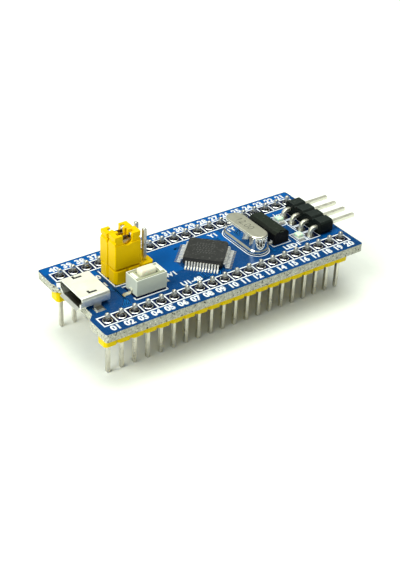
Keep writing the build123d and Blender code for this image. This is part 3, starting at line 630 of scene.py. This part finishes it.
def keep_flat():
    """Puts the active flat shape with those waiting to be joined."""
    loose_artwork.append(bpy.context.view_layer.objects.active)


def gather(name, height):
    """Joins the waiting flat shapes into one piece at the origin and gives it its height."""
    choose(*loose_artwork)
    bpy.ops.object.transform_apply(location=True, rotation=True, scale=True)
    bpy.ops.object.join()
    piece = bpy.context.view_layer.objects.active
    piece.name = name
    piece.data.name = name
    loose_artwork.clear()
    apply_modifier(piece, "SOLIDIFY", thickness=height, offset=1.0)
    return piece


def flat_bar(start, end, width, level):
    """Flat bar between two points of the board."""
    run = Vector((end[0] - start[0], end[1] - start[1]))
    bpy.ops.mesh.primitive_plane_add(
        size=1.0,
        location=((start[0] + end[0]) / 2 * MM, (start[1] + end[1]) / 2 * MM, level),
        rotation=(0, 0, math.atan2(run.y, run.x)),
    )
    bpy.context.view_layer.objects.active.scale = (run.length * MM, width * MM, 1)
    keep_flat()


def flat_area(x_low, x_high, y_low, y_high, level):
    """Flat rectangle between two pairs of limits."""
    middle = (y_low + y_high) / 2
    flat_bar((x_low, middle), (x_high, middle), y_high - y_low, level)


def flat_dot(x, y, radius, level, corners=12):
    """Flat round dot."""
    bpy.ops.mesh.primitive_circle_add(
        vertices=corners, radius=radius * MM, fill_type="NGON", location=(x * MM, y * MM, level)
    )
    keep_flat()


def flat_path(points, width, level):
    """Line of bars with round corners and ends."""
    for start, end in zip(points, points[1:]):
        flat_bar(start, end, width, level)
    for x, y in points:
        flat_dot(x, y, width / 2, level)


def open_frame(line):
    """Turns the flat face that is active into an outline of the given width."""
    bpy.ops.object.transform_apply(location=True, rotation=True, scale=True)
    bpy.ops.object.mode_set(mode="EDIT")
    bpy.ops.mesh.select_all(action="SELECT")
    bpy.ops.mesh.inset(thickness=line * MM)
    bpy.ops.mesh.delete(type="FACE")
    bpy.ops.object.mode_set(mode="OBJECT")
    keep_flat()


def flat_frame(x_low, x_high, y_low, y_high, line, level):
    """Rectangular outline, its line inside the given size."""
    bpy.ops.object.select_all(action="DESELECT")
    bpy.ops.mesh.primitive_plane_add(
        size=1.0, location=((x_low + x_high) / 2 * MM, (y_low + y_high) / 2 * MM, level)
    )
    made = bpy.context.view_layer.objects.active
    made.scale = ((x_high - x_low) * MM, (y_high - y_low) * MM, 1)
    open_frame(line)


def flat_oblong(x, y, width, length, line, level):
    """Round-ended outline lying along Y."""
    bpy.ops.object.select_all(action="DESELECT")
    bpy.ops.mesh.primitive_circle_add(
        vertices=64, radius=width / 2 * MM, fill_type="NGON",
        location=(x * MM, y * MM, level), rotation=(0, 0, math.pi / 64),
    )
    made = bpy.context.view_layer.objects.active
    bpy.ops.object.transform_apply(location=True, rotation=True, scale=True)
    reach = (length - width) / 2 * MM
    for corner in made.data.vertices:
        corner.co.y += math.copysign(reach, corner.co.y - y * MM)
    open_frame(line)


def finish_piece(piece, finish, body="board"):
    """Finish, material slot and body of a new piece."""
    dress(piece, finish)
    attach(piece, body)


def softened(node, finish, width, corner=35.0, body="board"):
    """Copy of a moulded or stamped part with its sharp edges rounded over."""
    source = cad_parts[node]
    piece = bpy.data.objects.new(node + "_soft", source.data.copy())
    bpy.context.scene.collection.objects.link(piece)
    choose(piece)
    bpy.ops.object.mode_set(mode="EDIT")
    bpy.ops.mesh.select_all(action="SELECT")
    bpy.ops.mesh.remove_doubles(threshold=MERGE)
    bpy.ops.mesh.dissolve_limited(angle_limit=math.radians(0.5))
    bpy.ops.object.mode_set(mode="OBJECT")
    apply_modifier(
        piece, "BEVEL", width=width * MM, segments=2, limit_method="ANGLE",
        angle_limit=math.radians(corner), use_clamp_overlap=True,
    )
    choose(piece)
    bpy.ops.object.shade_smooth_by_angle(angle=math.radians(corner + 15.0))
    apply_modifier(piece, "WEIGHTED_NORMAL", keep_sharp=True)
    finish_piece(piece, finish, body)
    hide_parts(node)
    return piece


def soften_parts():
    """Rounded copies of the moulded and pressed parts; the snap dome's copy gets a mesh of its own.
    """
    for row in ("front", "back"):
        softened(row + "_header_plastic", "yellow", 0.14)
        softened(row + "_header_pins", "pin", 0.07)
    softened("boot_header_plastic", "cap_yellow", 0.14)
    softened("boot_header_pins", "pin", 0.07)
    softened("debug_header_plastic", "black", 0.12)
    softened("debug_header_pins", "pale_pin", 0.07)
    for jumper in ("boot0_jumper", "boot1_jumper"):
        softened(jumper + "_cap", "cap_yellow", 0.1, body=jumper)
    softened("reset_base", "switch", 0.06)
    softened("mcu_body", "package", 0.05, corner=25.0)
    softened("clock_crystal_body", "clock_package", 0.06, corner=25.0)
    softened("usb_shell", "shell", 0.05)
    softened("led_lenses", "led_lens", 0.12)
    dome = softened("reset_dome", "spring", 0.01)
    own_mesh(dome)


soften_parts()


# ---------------------------------------------------------------- printed artwork
CELL = 1.25                   # half depth of a pad's printed cell, mm
LINE = 0.24                   # printed line width, mm
FINE_LINE = 0.16              # narrower line round small parts, mm
TRACK_WIDTH = 0.17            # mm
TRACK_GAP = 0.4               # width of the bare strip that a track runs in, mm


def row_x(number):
    """Place of a pin along its row, mm."""
    return (number - (ROW_PINS - 1) / 2) * PITCH


def debug_y(number):
    """Place of a debug pin across the board, mm."""
    return DEBUG_Y + (number - (DEBUG_PINS - 1) / 2) * PITCH


def copper_pour():
    """Areas where the pour lies under the mask, a shade lighter than the bare laminate."""
    for limits in (
        (-26.2, 26.2, 8.95, 10.95),
        (-26.2, -18.4, 4.3, 6.1),
        (-9.6, 7.0, 1.2, 6.1),
        (-9.6, -5.2, -1.5, 1.2),
        (16.6, 21.9, 5.0, 6.1),
        (21.9, 26.2, -6.0, 6.1),
        (13.0, 21.9, -6.0, -5.9),
    ):
        flat_area(*limits, MASK_TOP)
    finish_piece(gather("copper_pour", POUR), "pour_mask")


def printed_cells():
    """White cells round every pad of both pin rows and of the debug header."""
    half_row = ROW_PINS / 2 * PITCH
    debug_cell = 1.2              # half width of a debug pad's cell
    for centre in (-ROW_Y, ROW_Y):
        flat_frame(
            -half_row - LINE / 2, half_row + LINE / 2, centre - CELL - LINE / 2,
            centre + CELL + LINE / 2, LINE, MASK_TOP,
        )
        for number in range(1, ROW_PINS):
            x = -half_row + number * PITCH
            flat_bar((x, centre - CELL), (x, centre + CELL), LINE, MASK_TOP)
    for number in range(DEBUG_PINS):
        centre = debug_y(number)
        flat_frame(19.4, 21.75, centre - debug_cell, centre + debug_cell, FINE_LINE, MASK_TOP)
    finish_piece(gather("pad_cell_lines", INK), "ink")


def dark_cells():
    """Bare mask inside each printed cell; the same near-black finish under the switch and the boot
    header is painted shade.
    """
    half_width, depth = 1.16, 2.26
    for y in (-ROW_Y, ROW_Y):
        for number in range(ROW_PINS):
            x = row_x(number)
            flat_bar((x - half_width, y), (x + half_width, y), depth, MASK_TOP)
    for number in range(DEBUG_PINS):
        flat_bar((19.5, debug_y(number)), (21.6, debug_y(number)), 2.1, MASK_TOP)
    # painted shade under the switch and under the boot header
    flat_bar((-17.05, -2.98), (-10.75, -2.98), 3.95, MASK_TOP)
    flat_bar((-18.0, 2.7), (-10.1, 2.7), 5.5, MASK_TOP)
    finish_piece(gather("pad_cells_and_painted_shade", GROUND), "bare_mask_and_painted_shade")


def printed_outlines():
    """Part outlines printed round the crystals, headers, switch and lamps."""
    level = MASK_TOP
    flat_path([(-18.0, 5.5), (-18.0, -0.03), (-10.0, -0.03), (-10.0, 5.5)], LINE, level)
    flat_path([(-17.15, -4.4), (-17.15, -5.1), (-10.97, -5.1), (-10.97, -4.4)], LINE, level)
    flat_path([(-17.15, -0.9), (-17.15, -0.75), (-10.97, -0.75), (-10.97, -0.9)], LINE, level)
    flat_path([(12.2, -2.9), (12.2, -3.75), (16.0, -3.75), (16.0, -2.9)], FINE_LINE, level)
    flat_path([(12.2, 3.7), (12.2, 4.45), (16.0, 4.45), (16.0, 3.7)], FINE_LINE, level)
    flat_frame(17.0, 18.95, -5.0, -1.9, FINE_LINE, level)
    flat_frame(17.6, 19.4, 1.2, 4.7, FINE_LINE, level)
    flat_path([(19.1, -5.2), (19.1, 5.4)], FINE_LINE, level)
    flat_oblong(9.05, 0.3, 4.6, 11.0, FINE_LINE, level)
    finish_piece(gather("outline_lines", INK), "ink")


def letters(words, size, weight, level=MASK_TOP, turn=0.0):
    """Flat printed words; words holds (text, x, y), and weight thickens the strokes, mm."""
    for text, x, y in words:
        bpy.ops.object.select_all(action="DESELECT")
        bpy.ops.object.text_add()
        line = bpy.context.view_layer.objects.active
        line.data.body = text
        line.data.size = size * MM
        line.data.offset = weight * MM
        line.data.align_x = "CENTER"
        line.data.align_y = "CENTER"
        line.data.resolution_u = 3
        bpy.ops.object.convert(target="MESH")
        flat = bpy.context.view_layer.objects.active
        flat.location = (x * MM, y * MM, level)
        flat.rotation_euler = (0, 0, turn)
        keep_flat()


def printed_numbers():
    """Pin numbers beside both rows and plain part designators."""
    words = []
    for number in range(ROW_PINS):
        x = row_x(number)
        words.append((f"{number + 1:02d}", x + 0.2, -ROW_Y - 2.3))
        words.append((f"{2 * ROW_PINS - number:02d}", x + 0.1, ROW_Y + 2.2))
    letters(words, 1.8, 0.085)
    finish_piece(gather("pin_numbers", INK), "ink")
    words = [
        ("SW1", -8.5, -1.7), ("U1-48", -6.3, -5.25), ("LED1", 15.3, -5.15),
        ("Y1", 5.4, 5.0), ("0", -18.9, 3.9), ("1", -19.0, 1.4),
    ]
    letters(words, 1.6, 0.07)
    finish_piece(gather("part_designators", INK), "ink")


def track_runs():
    """Centre lines of the copper tracks on the top face."""
    runs = []
    spread = 2.2                  # how far the fan opens from the processor to the pin row
    for step in range(9):         # fan from the processor to the front row
        x = -3.9 + step * 0.72
        pad = (round((x * spread) / PITCH - 0.5) + 0.5) * PITCH
        low = -5.0 - abs(step - 4) * 0.12
        runs.append([(x, -3.4 - abs(step - 5) * 0.1), (x, low), (pad, -6.3)])
    for step in range(4):         # bundle past the boot header
        shift = step * 0.42
        x = -18.6 + shift * 0.2
        runs.append([
            (-20.4, 0.9 - shift), (x - 0.9, 0.9 - shift),
            (x, -shift), (x, -3.8 - shift * 0.6),
            (-19.9 + shift, -5.6),
        ])
    for step in range(3):         # bundle behind the processor
        shift = step * 0.55
        y = 4.6 + shift * 0.2
        runs.append([(5.6, 2.6 + shift), (3.6 - shift, y), (-3.0, y)])
    runs.append([(11.6, -4.6), (11.6, 5.6), (10.9, 6.2)])
    runs.append([(16.4, -4.6), (16.4, 4.6)])
    return runs


def tracks():
    """Each track is a raised line in a gap of the copper pour."""
    runs = track_runs()
    for run in runs:
        flat_path(run, TRACK_GAP, MASK_TOP)
    finish_piece(gather("track_gaps", GROUND), "bare_mask_and_painted_shade")
    for run in runs:
        flat_path(run, TRACK_WIDTH, MASK_TOP)
        for x, y in (run[0], run[-1]):
            flat_dot(x, y, 0.24, MASK_TOP, corners=16)
    finish_piece(gather("top_tracks", TRACK), "track_mask")


def latch_windows():
    """Latch springs just below the two slots in the socket's top, near-black as painted shade
    inside the slots.
    """
    low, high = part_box("usb_shell")
    middle = (low.y + high.y) / 2 / MM
    level = high.z - 0.2 * MM
    front = -24.65                # near end of each slot along the board
    length, width = 1.6, 0.42     # of each slot
    lap = 0.01                    # each spring goes this far in under the steel
    foot = width + lap            # a slot's short foot lies this far to its side
    for side in (-1, 1):
        y = middle + side * 2.45
        flat_bar((front - lap, y), (front + length + lap, y), width + 2 * lap, level)
        flat_bar((front - lap, y + foot), (front + width + lap, y + foot), width, level)
    finish_piece(gather("usb_latch_springs_as_painted_shade", 0.193 * MM), "recess")


def package_marks():
    """Plain rows of bars on the processor and a plain number on the crystal's can."""
    low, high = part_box("mcu_body")
    middle = (low + high) / 2 / MM
    along = Vector((1, -1)).normalized()
    across = Vector((1, 1)).normalized()
    centre = Vector((middle.x, middle.y))
    for row, count in enumerate((7, 9, 6, 8, 5)):
        for step in range(count):
            start = centre + along * ((step - count / 2) * 0.5) + across * (1.5 - row * 0.72)
            end = start + across * 0.38
            flat_bar(start, end, 0.1, high.z)
            if (step + row) % 3:
                flat_bar(end, end + along * 0.26, 0.09, high.z)
    finish_piece(gather("processor_marking", GROUND), "marking")
    low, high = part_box("crystal_can")
    middle = (low + high) / 2 / MM
    letters([("12.00", middle.x - 0.1, middle.y + 0.5)], 2.0, -0.02, high.z, -math.pi / 2)
    finish_piece(gather("can_number", POUR), "engraving")


copper_pour()
dark_cells()
printed_cells()
printed_outlines()
printed_numbers()
tracks()
latch_windows()
package_marks()


# ---------------------------------------------------------------- studio
def make_floor():
    """Plain pale paper under the pin tips."""
    bpy.ops.object.select_all(action="DESELECT")
    bpy.ops.mesh.primitive_plane_add(size=6.0, location=(0, 0, 0))
    floor = bpy.context.view_layer.objects.active
    floor.name = "studio_floor"
    floor.data.name = "studio_floor"
    material, tree, surface = new_finish("floor_paper", Specular_IOR_Level=0.2)
    cloud = noise(tree, object_point(tree), 900.0, 3.0)
    tree.links.new(
        ramp(tree, cloud, 0.3, 0.7, colour(0.9, 0.93, 0.9), colour(0.92, 0.95, 0.92)),
        surface["Base Color"],
    )
    surface["Roughness"].default_value = 0.7
    floor.data.materials.append(material)


def soft_box(name, place, target, width, height, power, tint):
    """Rectangular lamp that faces its target."""
    lamp = bpy.data.lights.new(name, "AREA")
    lamp.shape = "RECTANGLE"
    lamp.size = width
    lamp.size_y = height
    lamp.energy = power
    lamp.color = tint
    holder = bpy.data.objects.new(name, lamp)
    bpy.context.scene.collection.objects.link(holder)
    holder.location = place
    aim = Vector(target) - Vector(place)
    holder.rotation_euler = aim.to_track_quat("-Z", "Y").to_euler()


def make_light():
    """Soft room, paler overhead and to one side, and two soft boxes."""
    world = bpy.data.worlds.new("studio_room")
    world.use_nodes = True
    tree = world.node_tree
    way = add_node(tree, "ShaderNodeTexCoord").outputs["Generated"]
    up = upward_part(tree, way)
    shade = ramp(tree, up, 0.05, 0.9, colour(0.16, 0.17, 0.16), colour(0.5, 0.52, 0.48))
    west = add_node(tree, "ShaderNodeSeparateXYZ", {0: way}).outputs["X"]
    wall = ramp(tree, west, -0.9, -0.2, colour(0.42, 0.44, 0.4), colour(0.0, 0.0, 0.0))
    shade = blend_colour(tree, 1.0, shade, wall, mode="ADD")
    backdrop = tree.nodes["Background"]
    tree.links.new(shade, backdrop.inputs["Color"])
    backdrop.inputs["Strength"].default_value = 0.62
    bpy.context.scene.world = world
    soft_box("key_box", (-0.42, -0.04, 0.36), (0, 0, 0.01), 0.34, 0.3, 2.4, (0.97, 1.0, 0.92))
    soft_box("top_box", (0.06, 0.1, 0.52), (0, 0, 0.01), 0.42, 0.36, 2.2, (0.97, 1.0, 0.9))


def make_camera():
    """Camera in front of the board's USB end, looking down on it."""
    eye = bpy.data.cameras.new("studio_camera")
    eye.sensor_width = 36.0
    eye.lens = 75.03
    eye.clip_start = 0.01
    eye.clip_end = 20.0
    holder = bpy.data.objects.new("studio_camera", eye)
    bpy.context.scene.collection.objects.link(holder)
    right = Vector((0.81858, -0.57319, 0.03712))
    up = Vector((0.28790, 0.46535, 0.83700))
    back = Vector((-0.49703, -0.67447, 0.54594))
    turn = Matrix((right, up, back)).transposed()
    holder.location = (-0.103748, -0.139805, 0.117702)
    holder.rotation_euler = turn.to_euler()
    bpy.context.scene.camera = holder


make_floor()
make_light()
make_camera()
bpy.context.scene.view_settings.view_transform = "Standard"
